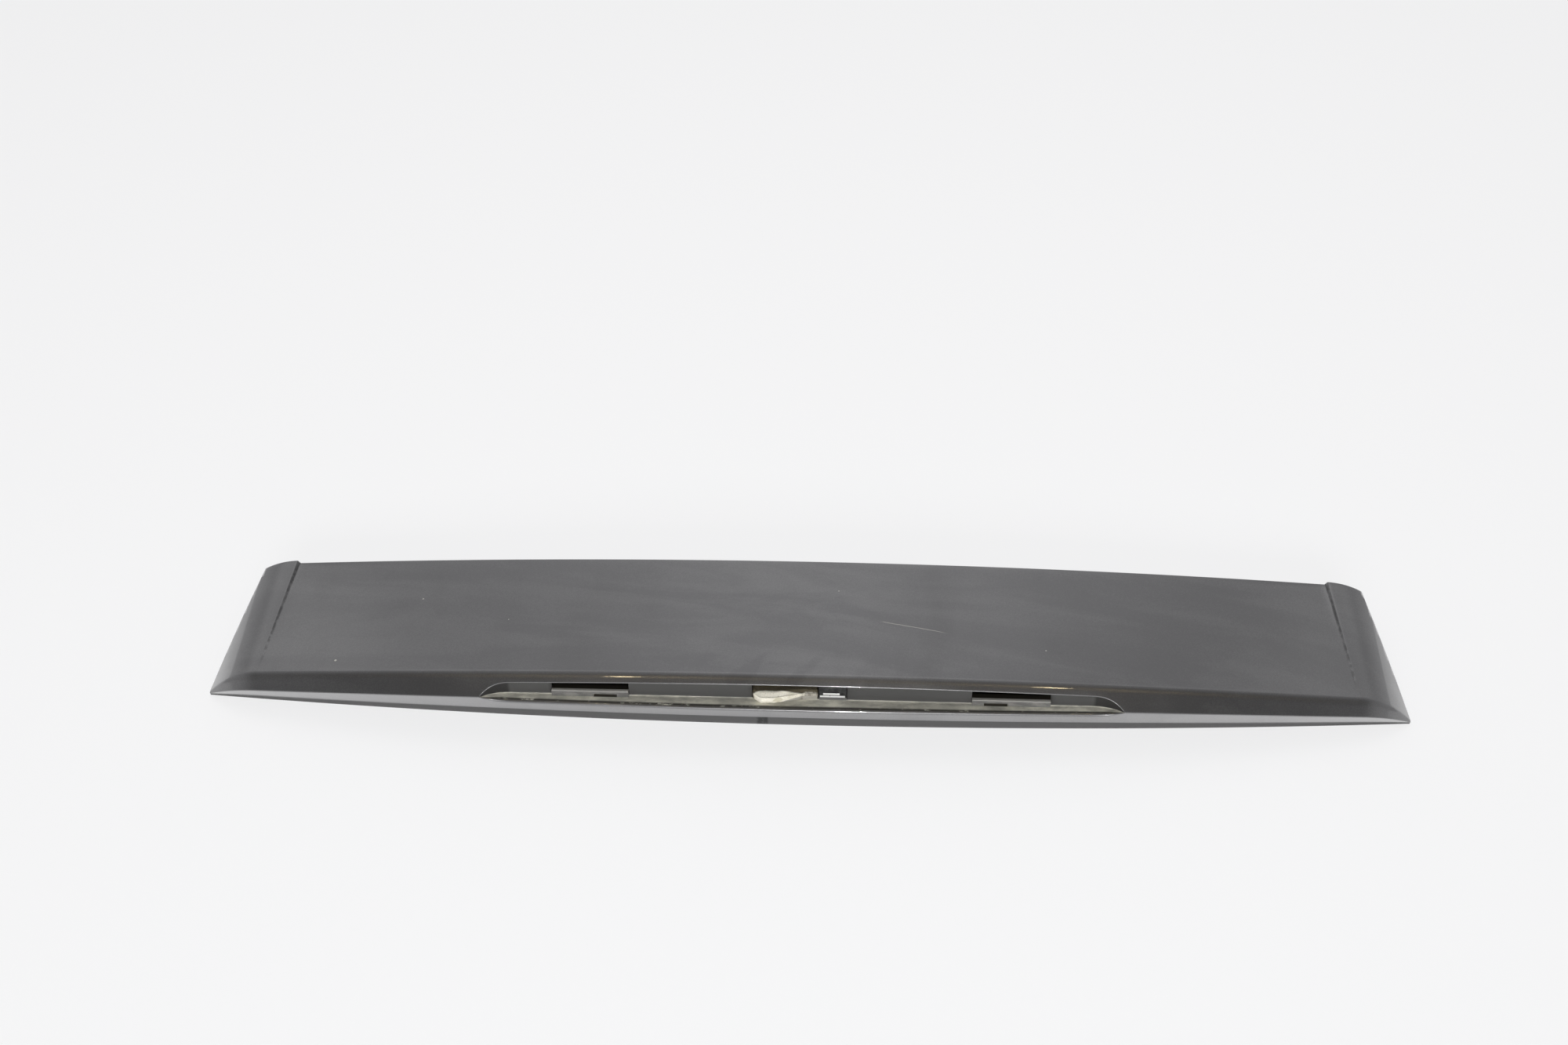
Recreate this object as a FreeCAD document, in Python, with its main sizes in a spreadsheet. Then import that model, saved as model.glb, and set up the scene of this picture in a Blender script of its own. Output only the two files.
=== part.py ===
import FreeCAD, Part
import math
import os
import Sketcher

# Rear spoiler of a tailgate, lying with its trailing edge towards -Y.
# X runs across the car, +Y points at the leading edge, Z is up.
# The origin is under the middle of the bounding box, on the surface that the wing tips rest on.

doc = FreeCAD.newDocument("rear_spoiler")
sheet = doc.addObject("Spreadsheet::Sheet", "Sizes")

SIZES = [
    ("half_span", 580, "centre line to the wing tip"),
    ("strip_width", 55, "wing tip to the inner edge of the raised end strip"),
    ("chord", 208, "leading edge to the middle of the trailing edge"),
    ("wall", 3, "wall of the painted skin"),
    ("fit_gap", 0.3, "clearance between pieces that fit together"),
    ("lead_height", 60.3, "leading edge at the centre line"),
    ("lead_drop", 16, "how far the leading edge falls to the end strip"),
    ("lead_flange", 18, "depth of the leading flange"),
    ("lead_radius", 3, "rounding of the leading edge"),
    ("corner_inset", 20, "how far the leading edge ends inside the wing tip"),
    ("strip_step", 3.5, "height of the step up to the end strip"),
    ("strip_run", 3, "width of that step"),
    ("strip_fall", 23, "how far the end strip falls to the tip's line"),
    ("brow_setback", 20.9, "trailing edge to the brow, at the centre line"),
    ("brow_sweep", 27.5, "how far the brow moves forward at the end strip"),
    ("brow_rise", 17, "brow above the trailing edge, at the centre line"),
    ("brow_rise_loss", 5, "how much less that is at the end strip"),
    ("brow_radius", 12, "rounding of the brow"),
    ("crease_sweep", 39.5, "how far the trailing edge moves forward at the end strip"),
    ("crease_height", 67, "trailing edge at the centre line"),
    ("crease_drop", 39, "how far the trailing edge falls to the end strip"),
    ("crease_radius", 1.5, "rounding of the trailing edge"),
    ("flange_setback", 10, "trailing edge to the lower flange, at the centre line"),
    ("flange_sweep", 35.7, "how far the lower flange moves forward at the end strip"),
    ("flange_height", 40, "top of the lower flange at the centre line"),
    ("flange_drop", 28.4, "how far the flange's top falls to the end strip"),
    ("foot_height", 31, "foot of the lower flange at the centre line"),
    ("foot_drop", 22.9, "how far the foot falls to the end strip"),
    ("tip_setback", 58.5, "trailing edge to the wing tip"),
    ("tip_height", 4, "thickness of the wing tip"),
    ("tip_radius", 1.2, "rounding of the brow at the wing tip"),
    ("tip_crease_radius", 0.3, "rounding of the trailing edge at the wing tip"),
    ("hollow_reach", 15, "how far the hollow runs on under the end strip"),
    ("rib", 3, "rib between the hollow and the pocket of the wing"),
    ("recess_half", 297.5, "centre line to the nose of the lamp recess"),
    ("recess_nose", 30, "length of the tapering nose of the recess"),
    ("recess_top", 11.3, "upper edge of the recess above the trailing edge, in the middle"),
    ("recess_top_loss", 1.9, "what that height loses from the middle to the noses"),
    ("recess_floor", 12.5, "floor of the recess below the trailing edge, in the middle"),
    ("recess_floor_loss", 4.4, "what that drop loses from the middle to the noses"),
    ("recess_depth", 20.5, "trailing edge to the back wall of the recess, in the middle"),
    ("recess_depth_loss", 5.3, "what that depth loses from the middle to the noses"),
    ("window_height", 20, "windows in the back wall of the recess"),
    ("window_middle", 195.3, "centre line to the middle of an outer window"),
    ("window_width", 73, "width of an outer window"),
    ("centre_window_width", 88, "width of the centre window"),
    ("catch_height", 6.5, "height of a lamp catch's bar"),
    ("catch_reach", 3, "how far the bar stands out of the back wall"),
    ("catch_flange", 2.5, "thickness of the flange behind the back wall"),
    ("catch_hook", 7, "how far the flange hangs below the floor"),
    ("notch_offset", 14, "middle of the outer window to the middle of the notch"),
    ("notch_width", 22.5, "width of the notch in the bar"),
    ("notch_height", 3.6, "height of the notch"),
    ("notch_depth", 6, "depth of the notch"),
    ("shell_wall", 2.5, "wall of the inner shell"),
    ("shell_upstand", 6, "rear upstand of the inner shell above the lower flange"),
    ("shell_inset", 3, "inner shell above the skin's lower edges"),
    ("shell_step", 62, "Y of the bend in the inner shell"),
    ("shell_step_height", 34, "height of that bend at the centre line"),
    ("shell_step_drop", 14, "how far the bend falls to the end strip"),
    ("stud_outer", 430, "centre line to an outer stud"),
    ("stud_inner", 160, "centre line to an inner stud"),
    ("stud_line", 25, "Y of the studs"),
    ("stud_radius", 3, "radius of a stud's thread"),
    ("stud_reach", 20.4, "length of a stud below its boss"),
    ("collar_radius", 4, "radius of a stud's collar, in its boss and seal"),
    ("collar_stand", 0.5, "how far the collar stands out of the seal"),
    ("stud_head_width", 20, "width of a stud's square head"),
    ("stud_head", 2.5, "thickness of a stud's head"),
    ("boss_width", 26, "width of a stud's square boss"),
    ("boss_height", 8, "height of a boss through the shell"),
    ("boss_drop", 2.5, "how far a boss stands out below the shell"),
    ("seal_thickness", 3, "thickness of a stud's seal"),
    ("seal_width", 22, "width of a stud's square seal"),
    ("clip_outer", 300, "centre line to an outer clip"),
    ("clip_inner", 60, "centre line to an inner clip"),
    ("clip_line", 45, "Y of the clips"),
    ("clip_head_width", 16, "width of a clip's square head and of its boss"),
    ("clip_head", 2, "thickness of a clip's head"),
    ("blade_width", 9, "width of a clip's blade across the car"),
    ("blade", 3, "thickness of a clip's blade"),
    ("clip_length", 14, "length of a clip below its boss"),
    ("barb_width", 7, "width of a clip's arrow-shaped end"),
    ("barb", 7, "height of that end"),
    ("pin_place", 360, "centre line to a locating pin"),
    ("pin_line", -20, "Y of the locating pins"),
    ("pin_radius", 4, "radius of a locating pin"),
    ("pin_length", 10, "length of a locating pin below the shell"),
    ("grommet_place", 230, "centre line to the grommet"),
    ("grommet_line", -10, "Y of the grommet"),
    ("grommet_bore", 4, "radius of the grommet's bore"),
    ("grommet_neck", 9, "radius of the grommet's neck"),
    ("grommet_rim", 12, "radius of the grommet's rims"),
    ("grommet_rim_thickness", 2, "thickness of a rim"),
    ("seal_lip", 7, "height of the leading seal"),
    ("foam_width", 61, "width of the foam block"),
    ("foam_height", 12.5, "height of the foam block"),
    ("foam_reach", 8.5, "how far the foam stands out of the back wall"),
    ("foam_behind", 12, "how far the foam reaches behind the back wall"),
    ("connector_width", 26, "width of the connector block"),
    ("connector_height", 17, "height of the connector block"),
    ("connector_reach", 1, "how far the connector stands out of the back wall"),
    ("connector_behind", 14, "how far the connector reaches behind the back wall"),
]


class Size:
    """A value with the expression that gives it, so that what is bound to it follows the sheet."""

    def __init__(self, text, value):
        self.text = text
        self.value = value

    def join(self, sign, other, value):
        return Size(f"({self.text} {sign} {other.text})", value)

    def __add__(self, other):
        other = as_size(other)
        return self.join("+", other, self.value + other.value)

    def __sub__(self, other):
        other = as_size(other)
        return self.join("-", other, self.value - other.value)

    def __mul__(self, other):
        other = as_size(other)
        return self.join("*", other, self.value * other.value)

    def __truediv__(self, other):
        other = as_size(other)
        return self.join("/", other, self.value / other.value)

    def __neg__(self):
        return Size(f"(-1 * {self.text})", -self.value)


def as_size(value):
    return value if isinstance(value, Size) else Size(f"({value})", value)


for row, (alias, value, note) in enumerate(SIZES, start=1):
    sheet.set(f"A{row}", note)
    sheet.set(f"B{row}", str(value))
    sheet.setAlias(f"B{row}", alias)
doc.recompute()

size = {alias: Size(f"Sizes.{alias}", float(sheet.get(alias))) for alias, value, note in SIZES}
SIDES = {"left": -1, "right": 1}
panel_half = size["half_span"] - size["strip_width"]
lead_corner = size["half_span"] - size["corner_inset"]
cavity_half = panel_half + size["hollow_reach"]


def origin_plane(body, role):
    return next(feature for feature in body.Origin.OriginFeatures if feature.Role == role)


def corner_points(before, corner, after, radius):
    """The two tangent points and the middle of the arc that rounds a corner."""
    back = (before - corner).normalize()
    ahead = (after - corner).normalize()
    half_angle = back.getAngle(ahead) / 2
    setback = radius / math.tan(half_angle)
    inward = (back + ahead).normalize()
    middle = corner + inward * (radius / math.sin(half_angle) - radius)
    return corner + back * setback, middle, corner + ahead * setback


def section(body, name, x, corners):
    """A closed outline at x. Each corner is its y, its z and, where it is rounded, its radius."""
    sketch = body.newObject("Sketcher::SketchObject", name)
    sketch.AttachmentSupport = [(origin_plane(body, "YZ_Plane"), "")]
    sketch.MapMode = "FlatFace"
    sketch.setExpression("AttachmentOffset.Base.z", x.text)
    close_outline(sketch, corners)
    return sketch


def close_outline(sketch, corners):
    """Draws the corners' outline and binds each corner and radius to its size."""
    count = len(corners)
    places = [FreeCAD.Vector(corner[0].value, corner[1].value, 0) for corner in corners]
    starts, ends, arcs = [], [], {}
    for i, corner in enumerate(corners):
        if len(corner) == 3:
            after = places[(i + 1) % count]
            first, middle, last = corner_points(places[i - 1], places[i], after, corner[2].value)
            arcs[i] = (first, middle, last)
            ends.append(first)
            starts.append(last)
        else:
            ends.append(places[i])
            starts.append(places[i])
    for i in range(count):
        sketch.addGeometry(Part.LineSegment(starts[i], ends[(i + 1) % count]), False)
    for i, corner in enumerate(corners):
        line_in = (i - 1) % count
        held = (i, 1)
        if i in arcs:
            first, middle, last = arcs[i]
            arc = sketch.addGeometry(Part.Arc(first, middle, last), False)
            from_start = sketch.getPoint(arc, 1).distanceToPoint(first)
            from_end = sketch.getPoint(arc, 2).distanceToPoint(first)
            arc_in, arc_out = (1, 2) if from_start < from_end else (2, 1)
            sketch.addConstraint(Sketcher.Constraint("Tangent", line_in, 2, arc, arc_in))
            sketch.addConstraint(Sketcher.Constraint("Tangent", i, 1, arc, arc_out))
            radius = sketch.addConstraint(Sketcher.Constraint("Radius", arc, corner[2].value))
            sketch.setExpression(f"Constraints[{radius}]", corner[2].text)
            point = sketch.addGeometry(Part.Point(places[i]), True)
            sketch.addConstraint(Sketcher.Constraint("PointOnObject", point, 1, line_in))
            sketch.addConstraint(Sketcher.Constraint("PointOnObject", point, 1, i))
            held = (point, 1)
        else:
            sketch.addConstraint(Sketcher.Constraint("Coincident", line_in, 2, i, 1))
        for kind, place in (("DistanceX", corner[0]), ("DistanceY", corner[1])):
            distance = sketch.addConstraint(Sketcher.Constraint(kind, -1, 1, held[0], held[1], place.value))
            sketch.setExpression(f"Constraints[{distance}]", place.text)


def outline_sketch(body, name, role, corners):
    """A closed straight-sided outline on one of the body's origin planes."""
    sketch = body.newObject("Sketcher::SketchObject", name)
    sketch.AttachmentSupport = [(origin_plane(body, role), "")]
    sketch.MapMode = "FlatFace"
    close_outline(sketch, corners)
    return sketch


def loft(body, kind, name, stations, outline, ruled=False):
    """Joins the outlines at the stations into an Additive or Subtractive loft."""
    sketches = [section(body, f"{name}_{i}", x, outline(x)) for i, x in enumerate(stations)]
    feature = body.newObject(f"PartDesign::{kind}Loft", name)
    feature.Profile = sketches[0]
    feature.Sections = sketches[1:]
    feature.Ruled = ruled
    return feature


def new_body(label):
    body = doc.addObject("PartDesign::Body", label)
    body.Label = label
    return body


def across(half, steps=4):
    """Stations from side to side, evenly spaced about the centre line."""
    return [half * (i / steps) for i in range(-steps, steps + 1)]


# Lines of the skin
# Each line runs from side to side as a flat parabola over the centre panel.
# Past the end strip it bends on, more and more, until all the lines meet in the wing tip.
def crown(x):
    share = x / panel_half
    return share * share


# The recess takes the middle of the trailing edge away, so the rearmost point is the recess's lower edge.
undercut = size["flange_setback"] / (size["crease_height"] - size["flange_height"])
leading = (size["chord"] - size["recess_floor"] * undercut) / 2
trailing = leading - size["chord"]
tip_y = trailing + size["tip_setback"]


def wing_share(x):
    """How far out on the wing x lies: 0 at the end strip, 1 at the tip."""
    return (crown(x) - 1) / (crown(size["half_span"]) - 1)


def rail(x, start, change, tip, wing):
    place = start + change * crown(x)
    if not wing:
        return place
    bend = tip - start - change * crown(size["half_span"])
    return place + bend * wing_share(x) * wing_share(x)


def lead_z(x, wing=False):
    height = size["lead_height"] - size["lead_drop"] * crown(x)
    return height - size["strip_fall"] * wing_share(x) * wing_share(x) if wing else height


def brow(x, wing=False):
    tip = tip_y + size["tip_height"] * 0.3
    y = rail(x, trailing + size["brow_setback"], size["brow_sweep"], tip, wing)
    height = size["crease_height"] + size["brow_rise"]
    drop = size["crease_drop"] + size["brow_rise_loss"]
    return y, rail(x, height, -drop, size["tip_height"], wing)


def crease(x, wing=False):
    y = rail(x, trailing, size["crease_sweep"], tip_y, wing)
    z = rail(x, size["crease_height"], -size["crease_drop"], size["tip_height"] * 0.65, wing)
    return y, z


def flange(x, wing=False):
    tip = tip_y + size["tip_height"] * 0.2
    y = rail(x, trailing + size["flange_setback"], size["flange_sweep"], tip, wing)
    z = rail(x, size["flange_height"], -size["flange_drop"], size["tip_height"] * 0.35, wing)
    return y, z


def foot_z(x, wing=False):
    return rail(x, size["foot_height"], -size["foot_drop"], as_size(0), wing)


def skin_outline(x, raised=False, wing=False):
    share = wing_share(x) if wing else as_size(0)
    brow_radius = size["brow_radius"] + (size["tip_radius"] - size["brow_radius"]) * share
    crease_radius = size["crease_radius"] + (size["tip_crease_radius"] - size["crease_radius"]) * share
    step = size["strip_step"] if raised else as_size(0)
    flange_y, flange_z = flange(x, wing)
    return [
        (leading, lead_z(x, wing) + step, size["lead_radius"]),
        (*brow(x, wing), brow_radius),
        (*crease(x, wing), crease_radius),
        (flange_y, flange_z),
        (flange_y, foot_z(x, wing)),
        (leading, lead_z(x, wing) - size["lead_flange"]),
    ]


# Where the skin's inner corners lie behind its outer ones, in walls along Y and Z.
BROW_INSET = (0.31, -1.04)
CREASE_INSET = (1.19, -0.32)
FLANGE_INSET = (1.0, 0.18)


def inset(corner, share, walls=1.0):
    return corner[0] + size["wall"] * (share[0] * walls), corner[1] + size["wall"] * (share[1] * walls)


def hollow_outline(x, raised=False, wing=False):
    step = size["strip_step"] if raised else as_size(0)
    flange_in = inset(flange(x, wing), FLANGE_INSET)
    return [
        (leading - size["wall"], lead_z(x, wing) + step - size["wall"]),
        inset(brow(x, wing), BROW_INSET),
        inset(crease(x, wing), CREASE_INSET),
        flange_in,
        (flange_in[0], foot_z(x, wing) - size["wall"]),
        (leading - size["wall"], lead_z(x, wing) - size["lead_flange"] - size["wall"]),
    ]


# Outer skin
# One painted moulding, open below. The panel, the steps and the wings are lofted across the car,
# the sides are trimmed, and the hollow and the wing pockets are lofted out from below.
outer_skin = new_body("outer_skin")
panel_end = panel_half - size["strip_run"]
wing_length = size["half_span"] - panel_half
loft(outer_skin, "Additive", "panel", across(panel_end), skin_outline)
for side_name, side in SIDES.items():
    step = loft(outer_skin, "Additive", f"step_{side_name}", [panel_end * side], skin_outline, ruled=True)
    raised_outline = skin_outline(panel_half * side, raised=True)
    step.Sections = [section(outer_skin, f"step_{side_name}_up", panel_half * side, raised_outline)]
    wing_stations = [(panel_half + wing_length * (i / 3)) * side for i in range(4)]
    loft(outer_skin, "Additive", f"wing_{side_name}", wing_stations, lambda x: skin_outline(x, True, True))

for side_name, side in SIDES.items():
    spare = size["wall"]
    trim = outline_sketch(outer_skin, f"side_{side_name}", "XY_Plane", [
        (lead_corner * side, leading),
        (size["half_span"] * side, tip_y),
        ((size["half_span"] + spare) * side, tip_y),
        ((size["half_span"] + spare) * side, leading + spare),
        (lead_corner * side, leading + spare),
    ])
    side_cut = outer_skin.newObject("PartDesign::Pocket", f"side_cut_{side_name}")
    side_cut.Profile = trim
    side_cut.Type = "ThroughAll"
    side_cut.Midplane = True

loft(outer_skin, "Subtractive", "hollow", across(panel_half), hollow_outline)
pocket_start = cavity_half + size["rib"]
pocket_end = lead_corner - size["wall"]
for side_name, side in SIDES.items():
    stations = [panel_half * side, cavity_half * side]
    loft(outer_skin, "Subtractive", f"hollow_end_{side_name}", stations,
         lambda x: hollow_outline(x, wing=True))
    stations = [pocket_start * side, (pocket_start + pocket_end) * (side / 2), pocket_end * side]
    loft(outer_skin, "Subtractive", f"wing_pocket_{side_name}", stations,
         lambda x: hollow_outline(x, raised=True, wing=True))


# Lamp recess
# A pan moulded into the trailing edge, with pointed noses and three windows in its back wall.
nose_start = size["recess_half"] - size["recess_nose"]


def boat(x, middle, loss):
    """A size of the recess at x: it falls from the middle to the noses as a flat parabola."""
    share = x / nose_start
    return middle - loss * share * share


def recess_back(x, open_share=1.0):
    return crease(x)[0] + boat(x, size["recess_depth"], size["recess_depth_loss"]) * open_share


def recess_floor(x, open_share=1.0):
    return crease(x)[1] - boat(x, size["recess_floor"], size["recess_floor_loss"]) * open_share


def pan_outline(x):
    back = recess_back(x) + size["wall"]
    bottom = recess_floor(x) - size["wall"]
    crease_y, crease_z = crease(x)
    flange_y, flange_z = flange(x)
    down = (crease_z - bottom) / (crease_z - flange_z)
    return [
        (back, brow(x)[1] - size["wall"] * 0.75),
        inset(crease(x), CREASE_INSET, 0.5),
        (crease_y + (flange_y - crease_y) * down + size["wall"] * 0.6, bottom),
        (back, bottom),
    ]


def recess_outline(x, open_share=1.0):
    crease_y, crease_z = crease(x)
    back = recess_back(x, open_share)
    top = crease_z + boat(x, size["recess_top"], size["recess_top_loss"]) * open_share
    floor = recess_floor(x, open_share)
    outside = crease_y - size["wall"]
    return [(back, top), (outside, top), (outside, floor), (back, floor)]


def window_outline(x):
    spare = size["wall"] / 3
    front = recess_back(x) - spare
    behind = recess_back(x) + size["wall"] + spare
    sill = recess_floor(x)
    head = sill + size["window_height"]
    return [(front, sill), (front, head), (behind, head), (behind, sill)]


pan_half = size["recess_half"] + size["wall"]
loft(outer_skin, "Additive", "pan", across(pan_half), pan_outline)
loft(outer_skin, "Subtractive", "recess", across(nose_start), recess_outline)
NOSE_OPENING = {0.0: 1.0, 0.6: 0.7, 1.0: 0.08}
for side_name, side in SIDES.items():
    sketches = []
    for along, opening in NOSE_OPENING.items():
        x = (nose_start + size["recess_nose"] * along) * side
        name = f"nose_{side_name}_{len(sketches)}"
        sketches.append(section(outer_skin, name, x, recess_outline(x, opening)))
    nose = outer_skin.newObject("PartDesign::SubtractiveLoft", f"nose_{side_name}")
    nose.Profile = sketches[0]
    nose.Sections = sketches[1:]
    middle = size["window_middle"] * side
    half = size["window_width"] / 2
    stations = [middle - half, middle, middle + half]
    loft(outer_skin, "Subtractive", f"window_{side_name}", stations, window_outline)
loft(outer_skin, "Subtractive", "window_centre", across(size["centre_window_width"] / 2, 1), window_outline)


# Lamp catches
# Grey moulded bars that hook over the sill of the outer windows, each with a notch for the lamp's latch.
def catch_outline(x):
    back = recess_back(x)
    behind = back + size["wall"] + size["fit_gap"]
    sill = recess_floor(x) + size["fit_gap"]
    bevel = size["catch_reach"] / 3
    return [
        (back - size["catch_reach"], sill),
        (back - size["catch_reach"], sill + size["catch_height"] - bevel),
        (back - size["catch_reach"] + bevel, sill + size["catch_height"]),
        (behind + size["catch_flange"], sill + size["catch_height"]),
        (behind + size["catch_flange"], sill - size["catch_hook"]),
        (behind, sill - size["catch_hook"]),
        (behind, sill),
    ]


def notch_outline(x):
    front = recess_back(x) - size["catch_reach"]
    sill = recess_floor(x) + size["fit_gap"]
    spare = size["notch_depth"] / 2
    return [
        (front - spare, sill - spare),
        (front - spare, sill + size["notch_height"]),
        (front + size["notch_depth"], sill + size["notch_height"]),
        (front + size["notch_depth"], sill - spare),
    ]


for side_name, side in SIDES.items():
    catch = new_body(f"lamp_catch_{side_name}")
    middle = size["window_middle"] * side
    half = size["window_width"] / 2 - size["fit_gap"]
    stations = [middle - half, middle, middle + half]
    loft(catch, "Additive", f"bar_{side_name}", stations, catch_outline, ruled=True)
    notch_middle = (size["window_middle"] - size["notch_offset"]) * side
    half = size["notch_width"] / 2
    stations = [notch_middle - half, notch_middle + half]
    loft(catch, "Subtractive", f"notch_{side_name}", stations, notch_outline)


# Foam block and connector block
# The foam is pushed into one half of the centre window and lies on the recess floor.
# The connector block fills the other half.
def foam_outline(x, reach_share, height_share):
    back = recess_back(x)
    floor = recess_floor(x) + size["fit_gap"]
    front = back - size["foam_reach"] * reach_share
    behind = back + size["wall"] + size["foam_behind"]
    top = floor + size["foam_height"] * height_share
    bevel = size["foam_reach"] * (reach_share / 3)
    return [
        (front, floor),
        (front, top - bevel),
        (front + bevel, top),
        (behind, top),
        (behind, floor),
    ]


def connector_outline(x):
    back = recess_back(x)
    floor = recess_floor(x) + size["fit_gap"]
    front = back - size["connector_reach"]
    behind = back + size["wall"] + size["connector_behind"]
    return [
        (front, floor),
        (front, floor + size["connector_height"]),
        (behind, floor + size["connector_height"]),
        (behind, floor),
    ]


foam_block = new_body("foam_block")
foam_start = -(size["centre_window_width"] / 2 - size["fit_gap"])
# Along the block: its reach and its height as shares of the full ones. The end by the connector is torn thin.
FOAM_TAPER = {0.0: (0.7, 0.95), 0.2: (1.0, 1.0), 0.4: (1.0, 1.0), 0.77: (0.25, 0.85), 1.0: (0.15, 0.75)}
sketches = []
for along, shares in FOAM_TAPER.items():
    x = foam_start + size["foam_width"] * along
    sketches.append(section(foam_block, f"foam_{len(sketches)}", x, foam_outline(x, *shares)))
foam = foam_block.newObject("PartDesign::AdditiveLoft", "foam")
foam.Profile = sketches[0]
foam.Sections = sketches[1:]
foam.Ruled = True

connector_block = new_body("connector_block")
connector_end = size["centre_window_width"] / 2 - size["fit_gap"]
connector_ends = [connector_end - size["connector_width"], connector_end]
loft(connector_block, "Additive", "connector", connector_ends, connector_outline)


# Inner shell
# Black moulding bonded inside the skin's lower edge.
# It is a thin floor with a rear and a front upstand and two end walls.
def shell_rear_y(x, wing=False):
    return flange(x, wing)[0] + size["wall"] + size["fit_gap"]


def shell_rear_z(x, wing=False):
    return foot_z(x, wing) + size["shell_inset"]


def shell_step_z(x):
    return size["shell_step_height"] - size["shell_step_drop"] * crown(x)


def shell_underside(x, y):
    """Height of the shell's lower face between its rear edge and its bend."""
    rear_y, rear_z = shell_rear_y(x), shell_rear_z(x)
    return rear_z + (shell_step_z(x) - rear_z) * (y - rear_y) / (size["shell_step"] - rear_y)


def shell_line(x, wing=False):
    """The shell's lower line from the top of the rear upstand to the top of the front one."""
    front = leading - size["wall"] - size["fit_gap"]
    rear = shell_rear_y(x, wing)
    return [
        (rear, flange(x, wing)[1] + size["shell_upstand"]),
        (rear, shell_rear_z(x, wing)),
        (size["shell_step"], shell_step_z(x)),
        (front, lead_z(x, wing) - size["lead_flange"] + size["shell_inset"]),
        (front, lead_z(x, wing) - size["wall"] - size["shell_upstand"]),
    ]


def shell_outline(x, wing=False):
    low = shell_line(x, wing)
    wall = size["shell_wall"]
    return low + [
        (low[4][0] - wall, low[4][1]),
        (low[3][0] - wall, low[3][1] + wall),
        (low[2][0], low[2][1] + wall),
        (low[1][0] + wall, low[1][1] + wall),
        (low[0][0] + wall, low[0][1]),
    ]


inner_shell = new_body("inner_shell")
shell_half = cavity_half - size["fit_gap"]
loft(inner_shell, "Additive", "shell_floor", across(panel_half), shell_outline)
for side_name, side in SIDES.items():
    stations = [panel_half * side, shell_half * side]
    loft(inner_shell, "Additive", f"shell_wing_{side_name}", stations, lambda x: shell_outline(x, wing=True))
    stations = [(shell_half - size["shell_wall"]) * side, shell_half * side]
    loft(inner_shell, "Additive", f"shell_end_{side_name}", stations, lambda x: shell_line(x, wing=True))


def bind(thing, values):
    """Ties each named property of an object to its size."""
    for target, value in values.items():
        thing.setExpression(target, value.text)
    return thing


def place(x, y, z):
    return {"Placement.Base.x": x, "Placement.Base.y": y, "Placement.Base.z": z}


def upright(x, y, bottom, radius, height):
    """Place and size of a cylinder that stands on its lower end at x and y."""
    return {**place(x, y, bottom), "Radius": radius, "Height": height}


def square(x, y, bottom, length, width, height):
    """Place and size of a box whose lower face is centred on x and y."""
    corner = place(x - length / 2, y - width / 2, bottom)
    return {**corner, "Length": length, "Width": width, "Height": height}


def boss_face(x, y):
    """Height of the flat lower face of a boss."""
    return shell_underside(x, y) - size["boss_drop"]


def shell_feature(kind, name, values):
    return bind(inner_shell.newObject(f"PartDesign::{kind}", name), values)


STUD_PLACES = [size["stud_outer"] * -1, size["stud_inner"] * -1, size["stud_inner"], size["stud_outer"]]
CLIP_PLACES = [size["clip_outer"] * -1, size["clip_inner"] * -1, size["clip_inner"], size["clip_outer"]]
bore_length = size["boss_height"] + size["wall"] * 2
grommet_face = boss_face(size["grommet_place"], size["grommet_line"])
collar_hole = size["collar_radius"] + size["fit_gap"]
for i, x in enumerate(STUD_PLACES):
    y, width = size["stud_line"], size["boss_width"]
    shell_feature("AdditiveBox", f"stud_boss_{i}",
                  square(x, y, boss_face(x, y), width, width, size["boss_height"]))
for i, x in enumerate(CLIP_PLACES):
    y, width = size["clip_line"], size["clip_head_width"]
    shell_feature("AdditiveBox", f"clip_boss_{i}",
                  square(x, y, boss_face(x, y), width, width, size["boss_height"]))
for side_name, side in SIDES.items():
    x, y = size["pin_place"] * side, size["pin_line"]
    bottom = shell_underside(x, y) - size["pin_length"]
    length = size["pin_length"] + size["shell_wall"]
    shell_feature("AdditiveCylinder", f"pin_{side_name}", upright(x, y, bottom, size["pin_radius"], length))
x, y = size["grommet_place"], size["grommet_line"]
shell_feature("AdditiveCylinder", "grommet_boss",
              upright(x, y, grommet_face, size["grommet_rim"], size["boss_height"]))
neck_hole = size["grommet_neck"] + size["fit_gap"]
shell_feature("SubtractiveCylinder", "grommet_hole",
              upright(x, y, grommet_face - size["wall"], neck_hole, bore_length))
for i, x in enumerate(STUD_PLACES):
    bottom = boss_face(x, size["stud_line"]) - size["wall"]
    shell_feature("SubtractiveCylinder", f"stud_hole_{i}",
                  upright(x, size["stud_line"], bottom, collar_hole, bore_length))
for i, x in enumerate(CLIP_PLACES):
    bottom = boss_face(x, size["clip_line"]) - size["wall"]
    length = size["blade_width"] + size["fit_gap"] * 2
    width = size["blade"] + size["fit_gap"] * 2
    shell_feature("SubtractiveBox", f"clip_slot_{i}",
                  square(x, size["clip_line"], bottom, length, width, bore_length))


# Studs and their seals
# Each stud has a square head above its boss, a collar through boss and seal, and a thread with a cone point.
def fused(name, pieces):
    whole = doc.addObject("Part::MultiFuse", name)
    whole.Shapes = pieces
    return whole


def drilled(name, solid, hole):
    cut = doc.addObject("Part::Cut", name)
    cut.Base = solid
    cut.Tool = hole
    return cut


def cylinder(name, values):
    return bind(doc.addObject("Part::Cylinder", name), values)


def box(name, values):
    return bind(doc.addObject("Part::Box", name), values)


def group(label, members):
    compound = doc.addObject("Part::Compound", label)
    compound.Label = label
    compound.Links = members
    return compound


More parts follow.
